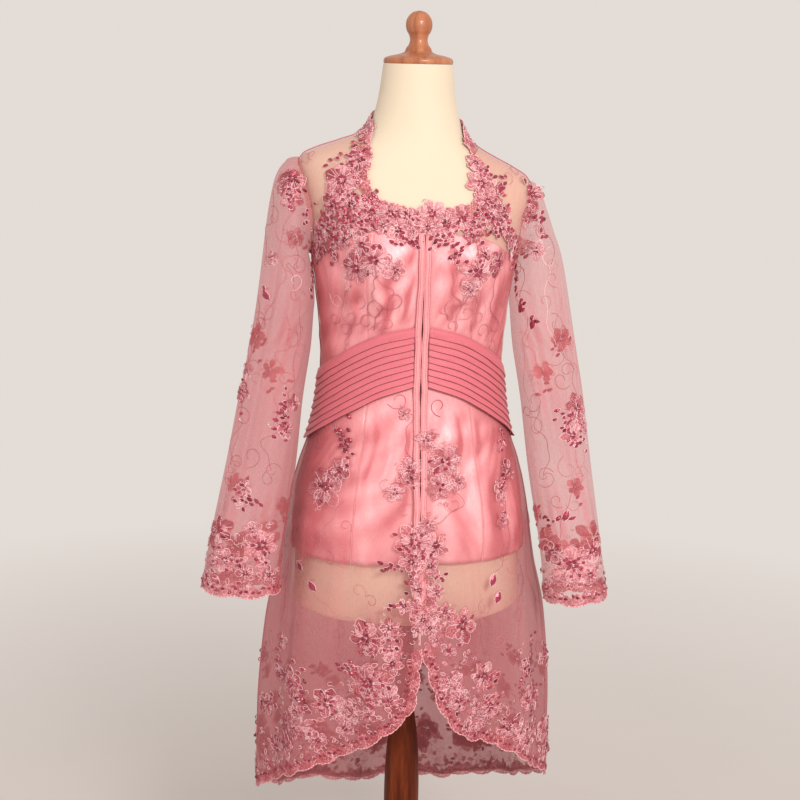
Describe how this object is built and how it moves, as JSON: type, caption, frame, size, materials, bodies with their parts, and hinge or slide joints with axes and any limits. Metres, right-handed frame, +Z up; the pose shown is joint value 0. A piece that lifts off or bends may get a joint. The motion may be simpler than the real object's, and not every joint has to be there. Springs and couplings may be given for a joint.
{
  "type": "kebaya blouse on a dress form",
  "caption": "Long-sleeved embroidered net kebaya blouse with satin lining and pin-tucked belt, on a limbless dress form with a turned wood post and round base.",
  "frame": {"origin": "centre of the base's underside, on the floor, under the form's post", "axes": "+Z up along the post; the form faces -Y; +X is the wearer's left"},
  "size_m": [0.5874, 0.3769, 1.552],
  "materials": {
    "net": "sheer pink net with corded and sequinned flowers",
    "satin": "soft sheen pink satin",
    "belt": "coral pink, pin-tucked",
    "form": "cream jersey drawn smooth over the form",
    "wood": "varnished red-brown, turned"
  },
  "bodies": {
    "root": {"front_left": "net", "front_right": "net", "back": "net", "sleeve_left": "net", "sleeve_right": "net", "collar": "net", "placket_left": "belt", "placket_right": "belt", "belt_left": "belt", "belt_right": "belt", "belt_back": "belt", "satin_front_left": "satin", "satin_front_right": "satin", "satin_side_left": "satin", "satin_side_right": "satin", "satin_back": "satin", "form_body": "form", "neck_cap": "wood", "post": "wood", "base": "wood"}
  },
  "joints": []
}
